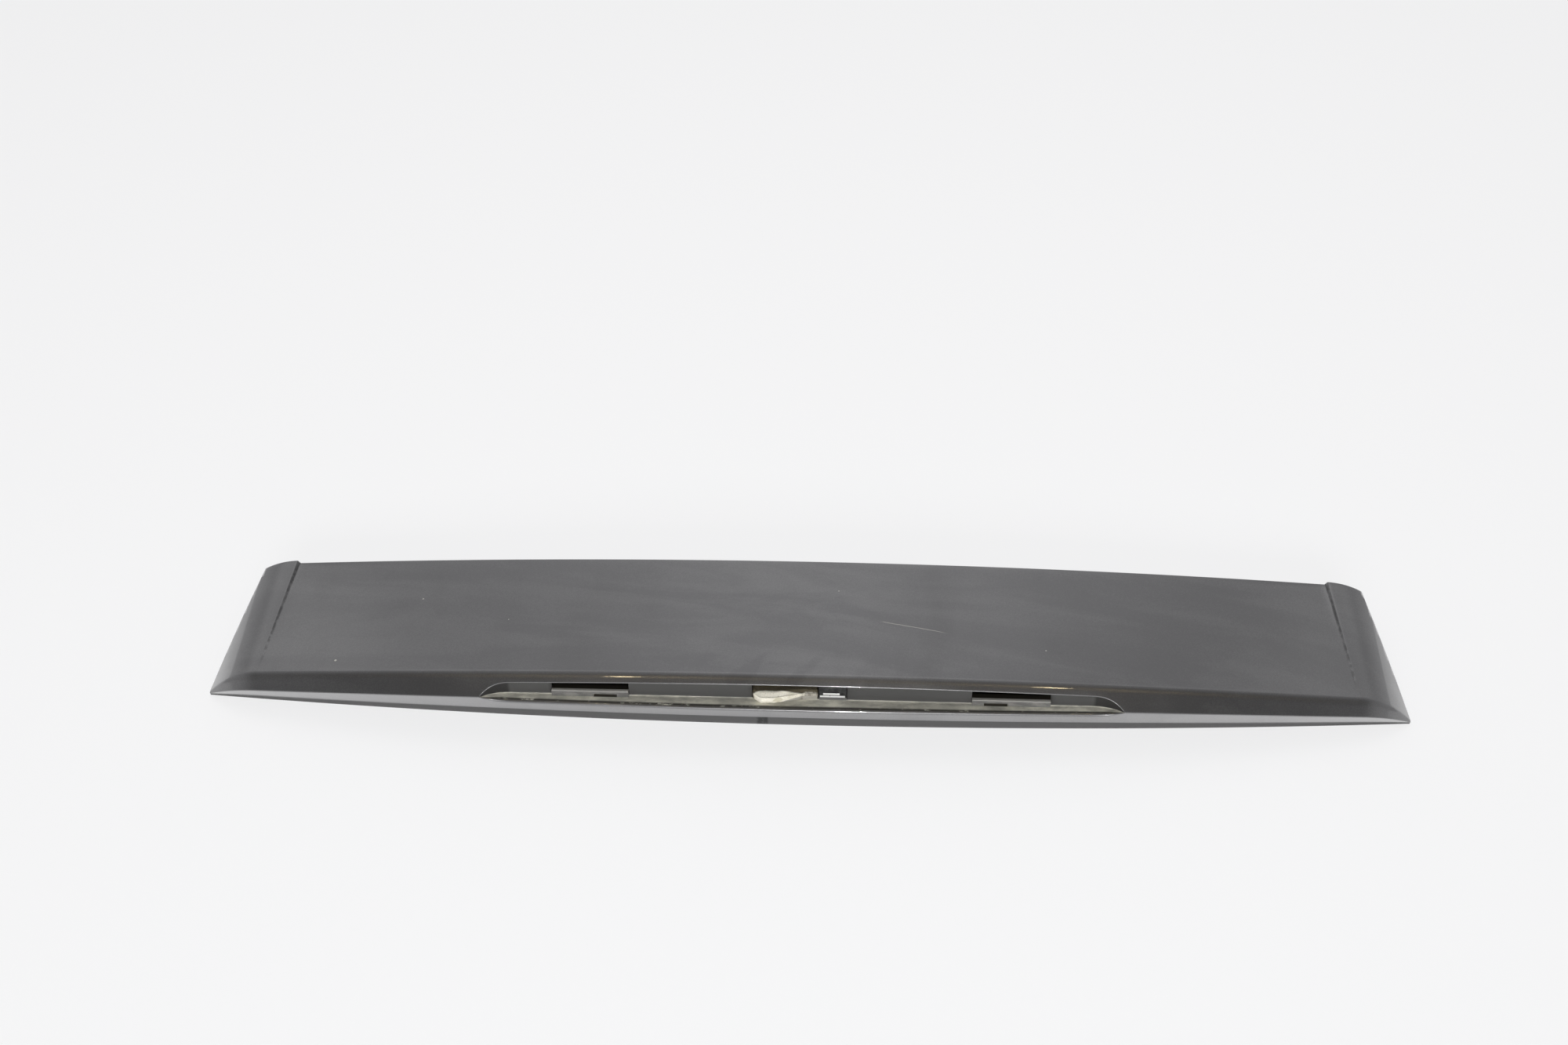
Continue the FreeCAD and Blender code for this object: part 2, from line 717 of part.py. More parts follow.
studs, stud_seals = [], []
for i, x in enumerate(STUD_PLACES):
    y = size["stud_line"]
    face = boss_face(x, y)
    radius = size["stud_radius"]
    point = radius / 3
    low = face - size["stud_reach"]
    collar_low = face - size["seal_thickness"] - size["collar_stand"]
    collar_length = size["seal_thickness"] + size["collar_stand"] + size["boss_height"]
    tip = bind(doc.addObject("Part::Cone", f"stud_{i}_tip"),
               {**place(x, y, low), "Radius1": radius - point, "Radius2": radius, "Height": point})
    thread = cylinder(f"stud_{i}_thread", upright(x, y, low + point, radius, collar_low - low - point))
    collar = cylinder(f"stud_{i}_collar", upright(x, y, collar_low, size["collar_radius"], collar_length))
    head_width = size["stud_head_width"]
    head = box(f"stud_{i}_head",
               square(x, y, face + size["boss_height"], head_width, head_width, size["stud_head"]))
    studs.append(fused(f"stud_{i}", [tip, thread, collar, head]))
    pad_low = face - size["seal_thickness"]
    pad = box(f"seal_{i}_pad",
              square(x, y, pad_low, size["seal_width"], size["seal_width"], size["seal_thickness"]))
    hole_length = size["seal_thickness"] + size["wall"] * 2
    hole = cylinder(f"seal_{i}_hole", upright(x, y, pad_low - size["wall"], collar_hole, hole_length))
    stud_seals.append(drilled(f"stud_seal_{i}", pad, hole))
group("mounting_studs", studs)
group("stud_seals", stud_seals)


# Push clips
# Each is a flat nylon blade through a slot in its boss.
# It has a square head under the boss and an arrow-shaped end.
def arrow_outline(face):
    y = size["clip_line"]
    half = size["blade"] / 2
    barb = size["barb_width"] / 2
    low = face - size["clip_length"]
    shoulder = low + size["barb"]
    top = face + size["boss_height"]
    return [
        (y - half, top),
        (y - half, shoulder),
        (y - barb, shoulder),
        (y - half / 2, low),
        (y + half / 2, low),
        (y + barb, shoulder),
        (y + half, shoulder),
        (y + half, top),
    ]


clips = []
for i, x in enumerate(CLIP_PLACES):
    clip = new_body(f"push_clip_{i}")
    face = boss_face(x, size["clip_line"])
    corners = arrow_outline(face)
    half = size["blade_width"] / 2
    loft(clip, "Additive", f"clip_blade_{i}", [x - half, x + half], lambda station: corners)
    width = size["clip_head_width"]
    bind(clip.newObject("PartDesign::AdditiveBox", f"clip_head_{i}"),
         square(x, size["clip_line"], face - size["clip_head"], width, width, size["clip_head"]))
    clips.append(clip)
group("push_clips", clips)


# Wiring grommet
# A rubber ring with a rim on each side of its boss and a bore for the lamp's lead.
rim = size["grommet_rim_thickness"]
neck_low = grommet_face - size["fit_gap"]
neck_length = size["boss_height"] + size["fit_gap"] * 2
x, y = size["grommet_place"], size["grommet_line"]
lower_rim = cylinder("grommet_lower_rim", upright(x, y, neck_low - rim, size["grommet_rim"], rim))
neck = cylinder("grommet_neck_ring", upright(x, y, neck_low, size["grommet_neck"], neck_length))
upper_rim = cylinder("grommet_upper_rim", upright(x, y, neck_low + neck_length, size["grommet_rim"], rim))
bore = cylinder("grommet_bore_hole",
                upright(x, y, neck_low - rim * 2, size["grommet_bore"], neck_length + rim * 4))
wiring_grommet = drilled("wiring_grommet", fused("grommet_solid", [lower_rim, neck, upper_rim]), bore)
wiring_grommet.Label = "wiring_grommet"


# Leading seal
# A soft strip under the foot of the leading flange, between the end strips.
def lower_edge_z(x, y):
    """Height of the line from the foot of the rear flange to the foot of the leading one."""
    rear_y = flange(x)[0]
    front_z = lead_z(x) - size["lead_flange"]
    return front_z - (front_z - foot_z(x)) * (leading - y) / (leading - rear_y)


def seal_outline(x):
    inner = leading - size["wall"]
    outer_top = lower_edge_z(x, leading) - size["fit_gap"]
    inner_top = lower_edge_z(x, inner) - size["fit_gap"]
    return [
        (leading, outer_top),
        (leading, outer_top - size["seal_lip"]),
        (inner, outer_top - size["seal_lip"]),
        (inner, inner_top),
    ]


leading_seal = new_body("leading_seal")
loft(leading_seal, "Additive", "strip", across(panel_end), seal_outline)

doc.recompute()
NODES = ["outer_skin", "inner_shell", "lamp_catch_left", "lamp_catch_right", "foam_block", "connector_block",
         "mounting_studs", "stud_seals", "push_clips", "wiring_grommet", "leading_seal"]
failed = [thing.Name for thing in doc.Objects if {"Invalid", "Error"} & set(thing.State)]
if failed:
    raise SystemExit(f"failed to build: {failed}")
nodes = [doc.getObjectsByLabel(label)[0] for label in NODES]
for node in nodes:
    if node.Shape.isNull() or not node.Shape.isValid():
        raise SystemExit(f"{node.Label} has no valid shape")
os.makedirs("parts", exist_ok=True)
for node in nodes:
    node.Shape.exportStep(f"parts/{node.Label}.step")
    print(node.Label, len(node.Shape.Solids), round(node.Shape.Volume), node.Shape.BoundBox)
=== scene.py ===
import math

import bmesh
import bpy
from mathutils import Matrix, Vector, noise


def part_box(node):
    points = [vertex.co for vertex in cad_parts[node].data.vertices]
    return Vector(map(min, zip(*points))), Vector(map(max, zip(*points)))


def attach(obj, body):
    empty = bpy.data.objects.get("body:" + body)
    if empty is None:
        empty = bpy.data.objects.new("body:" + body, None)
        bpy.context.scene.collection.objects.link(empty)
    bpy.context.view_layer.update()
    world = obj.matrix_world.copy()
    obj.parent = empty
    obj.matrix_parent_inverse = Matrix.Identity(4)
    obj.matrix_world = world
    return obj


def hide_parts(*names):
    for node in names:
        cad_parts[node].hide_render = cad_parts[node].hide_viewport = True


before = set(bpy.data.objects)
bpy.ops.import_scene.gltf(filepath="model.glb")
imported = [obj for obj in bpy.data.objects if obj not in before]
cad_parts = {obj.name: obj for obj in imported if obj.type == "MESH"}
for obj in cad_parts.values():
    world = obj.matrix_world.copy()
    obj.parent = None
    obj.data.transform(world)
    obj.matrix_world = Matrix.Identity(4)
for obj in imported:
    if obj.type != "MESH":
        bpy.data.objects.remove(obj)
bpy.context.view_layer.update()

# Outer skin
# One injection-moulded plastic skin, open below, in dark metallic grey paint under clear coat.
# The brake lamp's recess is moulded into its trailing edge, and the skin is bonded to the inner shell.
skin_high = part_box("outer_skin")[1]
half_span = skin_high.x
leading_y = skin_high.y
strip_width = 0.055
panel_half = half_span - strip_width
lead_corner = half_span - 0.020
trailing_y = leading_y - 0.208
tip_y = trailing_y + 0.0585
tip_height = 0.004
skin_wall = 0.003


def crown(x):
    """Share of the fall from the centre line to the end strip."""
    return (x / panel_half) ** 2


def wing_share(x):
    """How far out on the wing x lies: 0 up to the end strip, 1 at the tip."""
    return max(0.0, (crown(x) - 1) / (crown(half_span) - 1))


def rail(x, middle, change, tip):
    """A line from side to side, a flat parabola that bends to the tip on the wings."""
    bend = tip - middle - change * crown(half_span)
    return middle + change * crown(x) + bend * wing_share(x) ** 2


def smooth(share):
    """An even start and stop between 0 and 1."""
    share = min(1.0, max(0.0, share))
    return share * share * (3 - 2 * share)


lead_height = 0.0603
lead_fall = 0.016
lead_wing_fall = 0.023
lead_flange = 0.018
strip_step = 0.0035
strip_run = 0.003


def lead_place(x):
    step = strip_step * smooth((abs(x) - panel_half + strip_run) / strip_run)
    height = lead_height - lead_fall * crown(x) - lead_wing_fall * wing_share(x) ** 2
    return Vector((leading_y, height + step))


# Each rail below has its place on the centre line, its change to the end strip, and its place at the tip.
def brow_place(x):
    y = rail(x, trailing_y + 0.0209, 0.0275, tip_y + tip_height * 0.3)
    return Vector((y, rail(x, 0.084, -0.044, tip_height)))


def crease_place(x):
    y = rail(x, trailing_y, 0.0395, tip_y)
    return Vector((y, rail(x, 0.067, -0.039, tip_height * 0.65)))


def flange_place(x):
    y = rail(x, trailing_y + 0.0125, 0.0357, tip_y + tip_height * 0.2)
    return Vector((y, rail(x, 0.0375, -0.0259, tip_height * 0.35)))


def foot_height(x):
    return rail(x, 0.028, -0.0199, 0.0)


recess_half = 0.2975
nose_start = recess_half - 0.030
nose_bluntness = 2.8
nose_closing = 0.92
# Sizes of the recess in the middle, and what they lose towards the noses.
floor_drop = (0.0125, 0.0044)
back_depth = (0.0205, 0.0053)
rim_rise = (0.0102, 0.0017)
window_height = 0.0187
centre_window = 0.044
side_window_inner = 0.1588
side_window_outer = 0.2318
window_spans = [
    (-side_window_outer, -side_window_inner),
    (-centre_window, centre_window),
    (side_window_inner, side_window_outer),
]


def boat(x, middle, loss):
    """A size of the lamp recess at x, which falls from the middle to the noses."""
    return middle - loss * (x / nose_start) ** 2


def recess_opening(x):
    """How far the lamp recess is open: 1 in the middle, falling along its pointed noses to 0."""
    along = (abs(x) - nose_start) / (recess_half - nose_start)
    if along > 1:
        return 0.0
    return 1 - nose_closing * max(0.0, along) ** nose_bluntness


def recess_floor(x):
    return crease_place(x).y - boat(x, *floor_drop) * recess_opening(x)


def recess_back(x):
    return crease_place(x).x + boat(x, *back_depth) * recess_opening(x)


def arc(before, corner, after, radius, steps):
    """Points of the arc that rounds a corner."""
    back = (before - corner).normalized()
    ahead = (after - corner).normalized()
    half = back.angle(ahead) / 2
    centre = corner + (back + ahead).normalized() * (radius / math.sin(half))
    start = corner + back * (radius / math.tan(half)) - centre
    turn = -math.copysign(math.pi - 2 * half, back.cross(ahead))
    return [centre + Matrix.Rotation(turn * i / steps, 2) @ start for i in range(steps + 1)]


def run(start, end, steps):
    """Points between start and end, without the two ends."""
    return [start.lerp(end, i / steps) for i in range(1, steps)]


rim_radius = 0.0009
lip_radius = 0.002
pan_radius = 0.0008
crease_radius = 0.0015
crease_tip_loss = 0.0012
WALL_ROWS = (5, 3, 3, 3, 6, 3, 6, 8)


def recess_rows(x, brow, crease, flange):
    """The trailing edge from the facet to the undercut: a rounded crease, or the walls of the recess."""
    opening = recess_opening(x)
    rim, roof, corner, above, window, bend, floor, lip = WALL_ROWS
    if opening == 0:
        share = wing_share(x)
        steps = rim + roof + corner + above + window + bend + floor + lip
        return arc(brow, crease, flange, crease_radius - crease_tip_loss * share, steps)
    upper = crease.lerp(brow, boat(x, *rim_rise) * opening / (brow.y - crease.y))
    lower = crease.lerp(flange, (crease.y - recess_floor(x)) / (crease.y - flange.y))
    back = recess_back(x)
    roof_end = Vector((back, upper.y))
    floor_end = Vector((back, lower.y))
    head = Vector((back, lower.y + window_height * opening))
    upper_rim = arc(brow, upper, roof_end, rim_radius * math.sqrt(opening), rim)
    roof_corner = arc(upper, roof_end, floor_end, pan_radius * opening, corner)
    floor_corner = arc(roof_end, floor_end, lower, pan_radius * opening, bend)
    lower_rim = arc(floor_end, lower, flange, lip_radius * opening, lip)
    rows = upper_rim + run(upper_rim[-1], roof_corner[0], roof)
    rows += roof_corner + run(roof_corner[-1], head, above)
    rows += [head] + run(head, floor_corner[0], window)
    return rows + floor_corner + run(floor_corner[-1], lower_rim[0], floor) + lower_rim


lead_radius = 0.003
brow_radius = 0.012
brow_tip_loss = 0.0108
flange_radius = 0.0009
flange_tip_loss = 0.0006
FLANGE_STEPS = 4
LEAD_STEPS = 6
PANEL_STEPS = 28
BROW_STEPS = 14
FACET_STEPS = 6
BAND_STEPS = 7
EDGE_STEPS = 4
FOOT_STEPS = 4


def skin_outline(x):
    """The skin's outline at x, from the foot of the leading flange over the top to the rear foot."""
    lead, brow, crease, flange = lead_place(x), brow_place(x), crease_place(x), flange_place(x)
    lead_foot = Vector((lead.x, lead_place(min(abs(x), panel_half - strip_run)).y - lead_flange))
    if abs(x) > panel_half:
        lead_foot.y = lead.y - strip_step - lead_flange
    foot = Vector((flange.x, foot_height(x)))
    share = wing_share(x)
    lead_arc = arc(lead_foot, lead, brow, lead_radius, LEAD_STEPS)
    brow_arc = arc(lead, brow, crease, brow_radius - brow_tip_loss * share, BROW_STEPS)
    trailing = recess_rows(x, brow, crease, flange)
    flange_arc = arc(crease, flange, foot, flange_radius - flange_tip_loss * share, EDGE_STEPS)
    rows = [lead_foot] + run(lead_foot, lead_arc[0], FLANGE_STEPS)
    rows += lead_arc + run(lead_arc[-1], brow_arc[0], PANEL_STEPS)
    rows += brow_arc + run(brow_arc[-1], trailing[0], FACET_STEPS)
    rows += trailing + run(trailing[-1], flange_arc[0], BAND_STEPS)
    return rows + flange_arc + run(flange_arc[-1], foot, FOOT_STEPS) + [foot]


# Columns stand close together where the recess closes, at the step and on the wings.
COLUMN_SPANS = [
    (centre_window, 7), (side_window_inner, 16), (side_window_outer, 10),
    (nose_start, 6), (recess_half, 20), (recess_half + 0.001, 2),
    (panel_half - strip_run, 30), (panel_half, 8), (half_span - 0.006, 16), (half_span, 8),
]
columns = [0.0]
for span_end, count in COLUMN_SPANS:
    span_start = columns[-1]
    columns += [span_start + (span_end - span_start) * (i + 1) / count for i in range(count)]
columns = [-x for x in reversed(columns[1:])] + columns
first_recess_row = FLANGE_STEPS + LEAD_STEPS + 1 + PANEL_STEPS - 1 + BROW_STEPS + 1 + FACET_STEPS - 1
roof_row = first_recess_row + WALL_ROWS[0]
window_row = first_recess_row + sum(WALL_ROWS[:4])
floor_row = window_row + sum(WALL_ROWS[4:6])
lip_row = floor_row + WALL_ROWS[6]
flange_row = lip_row + WALL_ROWS[7] + BAND_STEPS + 2
outlines = [skin_outline(x) for x in columns]
row_count = len(outlines[0])


def in_window(x, row):
    in_rows = window_row < row < window_row + WALL_ROWS[4]
    return in_rows and any(low < x < high for low, high in window_spans)


skin_mesh = bmesh.new()
bmesh.ops.create_grid(skin_mesh, x_segments=len(columns) - 1, y_segments=row_count - 1, size=1)
floor_dust = skin_mesh.verts.layers.float.new("floor_dust")
lip_dirt = skin_mesh.verts.layers.float.new("lip_dirt")
thin_paint = skin_mesh.verts.layers.float.new("thin_paint")
bare_pan = skin_mesh.verts.layers.float.new("bare_pan")
wall_share = skin_mesh.verts.layers.deform.verify()
brow_row = FLANGE_STEPS + LEAD_STEPS + PANEL_STEPS
grid_place = {}
for vert in skin_mesh.verts:
    column = round((vert.co.x + 1) / 2 * (len(columns) - 1))
    row = round((1 - vert.co.y) / 2 * (row_count - 1))
    grid_place[vert] = (column, row)
open_faces = []
for face in skin_mesh.faces:
    places = [grid_place[vert] for vert in face.verts]
    middle_x = sum(columns[column] for column, row in places) / 4
    middle_row = sum(row for column, row in places) / 4
    if in_window(middle_x, middle_row):
        open_faces.append(face)
for vert, (column, row) in grid_place.items():
    y, z = outlines[column][row]
    opening = recess_opening(columns[column])
    vert.co = (columns[column], y, z)
    vert[floor_dust] = 1.0 if opening > 0 and floor_row - 2 <= row <= lip_row + 1 else 0.0
    vert[lip_dirt] = 1.0 if opening > 0 and lip_row - 1 <= row <= lip_row + 3 else 0.0
    vert[bare_pan] = 1.0 if opening > 0 and roof_row <= row <= lip_row else 0.0
    vert[thin_paint] = 1.0 if row >= flange_row else 0.0
    # The wall thins towards the tips, round the recess and at the flange, where two walls would meet.
    tip_share = 1 - smooth((abs(columns[column]) - half_span + 0.035) / 0.03)
    share = 0.12 + 0.88 * tip_share
    if opening > 0 and brow_row <= row <= window_row:
        share = 0.04
    elif row >= flange_row - EDGE_STEPS:
        share = min(share, 0.25)
    elif opening > 0 and row > window_row:
        share = min(share, 0.1 + 0.9 * opening)
    vert[wall_share][0] = share
bmesh.ops.delete(skin_mesh, geom=open_faces, context="FACES")
for side in (-1, 1):
    along = Vector((half_span - lead_corner, tip_y - leading_y))
    outward = Vector((-along.y * side, along.x, 0)).normalized()
    everything = skin_mesh.verts[:] + skin_mesh.edges[:] + skin_mesh.faces[:]
    cut = bmesh.ops.bisect_plane(skin_mesh, geom=everything, dist=0.00002, clear_outer=True,
                                 plane_co=(half_span * side, tip_y, 0), plane_no=outward)
    edge = [item for item in cut["geom_cut"] if isinstance(item, bmesh.types.BMEdge)]
    bmesh.ops.contextual_create(skin_mesh, geom=edge)
bmesh.ops.recalc_face_normals(skin_mesh, faces=skin_mesh.faces[:])


def add_piece(name, mesh, material, replaced=None):
    """Makes a piece of a finished mesh, gives it its material and lets it ride with the part."""
    data = bpy.data.meshes.new(name)
    mesh.to_mesh(data)
    mesh.free()
    data.shade_smooth()
    data.materials.append(material)
    piece = bpy.data.objects.new(name, data)
    bpy.context.scene.collection.objects.link(piece)
    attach(piece, "root")
    if replaced:
        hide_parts(replaced)
    return piece


class Shade:
    """One output in a material's nodes. Sums, products and the like of such values add Math nodes."""

    def __init__(self, tree, socket=None):
        self.tree = tree
        self.socket = socket

    def node(self, kind, sockets=None, settings=None, output=0):
        """Adds a node, sets its settings and then its sockets, and gives one of its outputs."""
        added = self.tree.nodes.new(kind)
        for name, setting in (settings or {}).items():
            setattr(added, name, setting)
        for name, given in (sockets or {}).items():
            if isinstance(given, Shade):
                self.tree.links.new(given.socket, added.inputs[name])
            else:
                added.inputs[name].default_value = given
        return Shade(self.tree, added.outputs[output])

    def math(self, operation, first, second=0.0):
        return self.node("ShaderNodeMath", {0: first, 1: second}, {"operation": operation})

    def __add__(self, other):
        return self.math("ADD", self, other)

    def __sub__(self, other):
        return self.math("SUBTRACT", self, other)

    def __rsub__(self, other):
        return self.math("SUBTRACT", other, self)

    def __mul__(self, other):
        return self.math("MULTIPLY", self, other)

    def __truediv__(self, other):
        return self.math("DIVIDE", self, other)

    def __abs__(self):
        return self.math("ABSOLUTE", self)

    __radd__ = __add__
    __rmul__ = __mul__

    def between(self, low, high):
        """0 up to low, 1 from high on, smooth between; high may be the smaller."""
        return self.node("ShaderNodeMapRange", {"Value": self, "From Min": low, "From Max": high},
                         {"interpolation_type": "SMOOTHSTEP"})

    def mix(self, first, second):
        """A colour that goes from first to second as this value goes from 0 to 1."""
        return self.node("ShaderNodeMix", {0: self, 6: first, 7: second}, {"data_type": "RGBA"}, output=2)

    def noise(self, scale, detail=3.0, roughness=0.5, distortion=0.0):
        """Noise over these coordinates."""
        sockets = {"Vector": self, "Scale": scale, "Detail": detail, "Roughness": roughness}
        return self.node("ShaderNodeTexNoise", {**sockets, "Distortion": distortion})

    def stretched(self, scale, turn=0.0):
        """These coordinates turned about Z, in degrees, and with each axis scaled."""
        turned = self.node("ShaderNodeVectorRotate", {"Vector": self, "Angle": math.radians(turn)})
        return turned.node("ShaderNodeMapping", {"Vector": turned, "Scale": scale})

    def bump(self, strength, distance):
        return self.node("ShaderNodeBump", {"Height": self, "Strength": strength, "Distance": distance})


def new_material(name, constants):
    """A material with its fixed values set, its shader and the Object coordinates of its piece."""
    material = bpy.data.materials.new(name)
    material.use_nodes = True
    tree = material.node_tree
    shader = tree.nodes["Principled BSDF"]
    for socket, value in constants.items():
        shader.inputs[socket].default_value = value
    place = Shade(tree).node("ShaderNodeTexCoord", output="Object")
    return material, shader, place


def feed(shader, sockets):
    """Links what changes over the surface to the shader's sockets."""
    for name, value in sockets.items():
        value.tree.links.new(value.socket, shader.inputs[name])


def split(place):
    """The x, y and z of coordinates."""
    return [place.node("ShaderNodeSeparateXYZ", {0: place}, output=axis) for axis in ("X", "Y", "Z")]


paint, shader, place = new_material("grey_paint", {
    "IOR": 1.5, "Coat Roughness": 0.03, "Coat IOR": 1.5,
})
x, y, z = split(place)
paint_grey = (0.148, 0.147, 0.150, 1)
paint_pale = (0.212, 0.211, 0.212, 1)
pan_grey = (0.060, 0.059, 0.057, 1)
nose_shade_black = (0.014, 0.013, 0.012, 1)
primer_grey = (0.040, 0.039, 0.039, 1)
scuff_black = (0.008, 0.008, 0.008, 1)
step_shadow_black = (0.02, 0.02, 0.019, 1)
lip_black = (0.045, 0.042, 0.035, 1)
notch_shade_brown = (0.035, 0.030, 0.020, 1)
dust_pale = (0.52, 0.50, 0.45, 1)
flakes = place.node("ShaderNodeTexVoronoi", {"Vector": place, "Scale": 1400.0}, output="Color")
sparkle = flakes.node("ShaderNodeSeparateColor", {0: flakes}, output=0)
centre = 1 - (abs(x + 0.005) / 0.16).between(0.2, 1.1)
wipes = place.stretched((1.0, 5.0, 5.0), 9).noise(4.2, 3.0, 0.5, 0.9).between(0.36, 0.64)
smears = place.stretched((1.0, 1.6, 1.6)).noise(11.0, 4.0, 0.55, 0.6)
haze = smears.between(0.36, 0.6) * (0.2 + 0.8 * centre)
fingers = place.stretched((1.0, 0.5, 0.5), 35).noise(38.0, 2.0, 0.5).between(0.53, 0.66)
fingers = fingers * centre * y.between(-0.048, -0.06) * z.between(0.07, 0.074)
coat_haze = place.stretched((1.4, 0.5, 0.5)).noise(9.0, 5.0, 0.6).between(0.45, 0.75)
specks = place.node("ShaderNodeTexVoronoi", {"Vector": place, "Scale": 34.0}, output="Distance")
speck_pick = place.node("ShaderNodeTexVoronoi", {"Vector": place, "Scale": 34.0}, output="Color")
speck_pick = speck_pick.node("ShaderNodeSeparateColor", {0: speck_pick}, output=1)
speck = specks.between(0.035, 0.02) * speck_pick.between(0.9, 0.93)
# Paint chips and stuck crumbs that show from a step away: their x, y and radius.
CHIPS = [(-0.379, 0.038, 0.0012), (-0.446, -0.047, 0.0018), (0.034, 0.050, 0.001), (-0.286, 0.002, 0.0009)]
for chip_x, chip_y, chip_radius in CHIPS:
    off_centre = abs(x - chip_x) + abs(y - chip_y)
    speck = speck + off_centre.between(chip_radius, chip_radius * 0.6) * z.between(0.04, 0.05)
scratch_start, scratch_end = Vector((0.0753, 0.0016)), Vector((0.1437, -0.0137))
scratch_way = (scratch_end - scratch_start).normalized()
along_scratch = (x - scratch_start.x) * scratch_way.x + (y - scratch_start.y) * scratch_way.y
off_scratch = (y - scratch_start.y) * scratch_way.x - (x - scratch_start.x) * scratch_way.y
scratch_length = (scratch_end - scratch_start).length
scratch_tail = along_scratch.between(scratch_length, scratch_length - 0.02)
wander = place.noise(60.0, 2.0) * 0.0024 - 0.0012
scratch = abs(off_scratch + wander).between(0.0007, 0.0003) * along_scratch.between(-0.001, 0.004)
scratch = scratch * scratch_tail * z.between(0.05, 0.06) * 0.5
dust_share = place.node("ShaderNodeAttribute", settings={"attribute_name": "floor_dust"}, output="Fac")
pan_share = place.node("ShaderNodeAttribute", settings={"attribute_name": "bare_pan"}, output="Fac")
thin_share = place.node("ShaderNodeAttribute", settings={"attribute_name": "thin_paint"}, output="Fac")
lip_share = place.node("ShaderNodeAttribute", settings={"attribute_name": "lip_dirt"}, output="Fac")
dirt_grain = place.stretched((1.0, 3.0, 3.0)).noise(48.0, 6.0, 0.62)
dirt_blots = place.noise(30.0, 4.0, 0.6)
dirt_scuff = place.noise(260.0, 3.0, 0.6).between(0.3, 0.55)
dust = dust_share * (0.55 + 0.45 * dirt_grain.between(0.3, 0.62))
floor_grey = dirt_blots.between(0.35, 0.7).mix((0.50, 0.488, 0.42, 1), (0.78, 0.757, 0.645, 1))
tone = 0.40 * wipes - 0.03 + 0.4 * haze - 0.35 * fingers + 0.5 * (sparkle - 0.5)
colour = tone.mix(paint_grey, paint_pale)
# Painted shadow: a broken dark line along the foot of each end strip's raised step, where the step's face
# throws shade.
step_painted_shadow = abs(abs(x) - panel_half + strip_run * 0.6).between(0.0018, 0.0006) * y.between(-0.05, -0.02)
step_painted_shadow = step_painted_shadow * place.noise(120.0, 3.0, 0.6).between(0.3, 0.6) * 0.55
colour = step_painted_shadow.mix(colour, step_shadow_black)
colour = (speck + scratch).mix(colour, dust_pale)
colour = (thin_share * 0.85).mix(colour, primer_grey)
scuff = abs(x + 0.035 + 0.004 * (smears - 0.5)).between(0.006, 0.004) * thin_share
colour = (scuff * dirt_scuff).mix(colour, scuff_black)
lip_dirt_share = lip_share * place.stretched((1.0, 2.0, 2.0)).noise(75.0, 5.0, 0.7).between(0.28, 0.46)
floor_grey = lip_dirt_share.mix(floor_grey, lip_black)
wall_bow = (recess_back(nose_start) - recess_back(0.0)) / nose_start ** 2
before_wall = x * x * wall_bow + recess_back(0.0) - y
# Painted shade: the recess floor close to the back wall under each catch's notch is coloured dark brown.
notch_middle = 0.1813
notch_half = 0.01125
notch_painted_shade = abs(abs(x) - notch_middle).between(notch_half, notch_half - 0.0006)
notch_painted_shade = notch_painted_shade * before_wall.between(0.0034, 0.0026)
floor_grey = notch_painted_shade.mix(floor_grey, notch_shade_brown)
# Painted shade: the pan's end walls at the noses are coloured near black, where the rim shades them.
nose_shade = abs(x).between(nose_start + 0.003, nose_start + 0.007)
pan_colour = dust.mix(nose_shade.mix(pan_grey, nose_shade_black), floor_grey)
colour = pan_share.mix(colour, pan_colour)
painted = (1 - pan_share) * (1 - scratch) * (1 - 0.6 * step_painted_shadow)
feed(shader, {
    "Base Color": colour,
    "Metallic": 0.9 - 0.9 * (pan_share + speck + scratch + thin_share).between(0.1, 0.5),
    "Roughness": 0.38 + 0.1 * coat_haze + 0.27 * pan_share,
    "Coat Weight": painted * (1 - 0.12 * haze - 0.05 * coat_haze) * (1 - 0.8 * thin_share) * (1 - scuff),
})
skin = add_piece("painted_skin", skin_mesh, paint, "outer_skin")
skin.vertex_groups.new(name="wall")
solidify = skin.modifiers.new("wall", "SOLIDIFY")
solidify.thickness = skin_wall
solidify.offset = -1
solidify.vertex_group = "wall"
bevel = skin.modifiers.new("worn_edges", "BEVEL")
bevel.width = 0.0005
bevel.segments = 2
bevel.limit_method = "ANGLE"
bevel.angle_limit = math.radians(38)

# Lamp catches
# Two grey moulded bars that hook over the sills of the outer windows and hold the brake lamp's latches.
# They are bare satin plastic with patchy dust, with a painted highlight along the top edge and painted
# shade behind the wall.
catch_plastic, shader, place = new_material("grey_moulding", {"IOR": 1.46})
grain = place.noise(900.0, 2.0)
settled = place.stretched((1.0, 1.0, 2.0)).noise(90.0, 5.0, 0.6)
colour = settled.between(0.4, 0.68).mix((0.13, 0.128, 0.122, 1), (0.22, 0.215, 0.20, 1))
x, y, z = split(place)
floor_bow = (recess_floor(nose_start) - recess_floor(0.0)) / nose_start ** 2
above_floor = z - (x * x * floor_bow + recess_floor(0.0))
# Painted highlight: a light band along each bar's top edge.
colour = above_floor.between(0.0058, 0.0063).mix(colour, (0.38, 0.37, 0.345, 1))
# Painted shade: what lies behind the back wall's face, in the windows, is coloured near black.
painted_shade_behind_wall = (y - (x * x * wall_bow + recess_back(0.0))).between(0.0, 0.001)
colour = painted_shade_behind_wall.mix(colour, (0.016, 0.014, 0.010, 1))
feed(shader, {
    "Base Color": colour,
    "Roughness": 0.42 + 0.3 * settled,
    "Normal": grain.bump(0.25, 0.0002),
})


def finish_node(name, material):
    """Gives a part that stays as constructed its material."""
    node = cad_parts[name]
    node.data.materials.clear()
    node.data.materials.append(material)
    return node


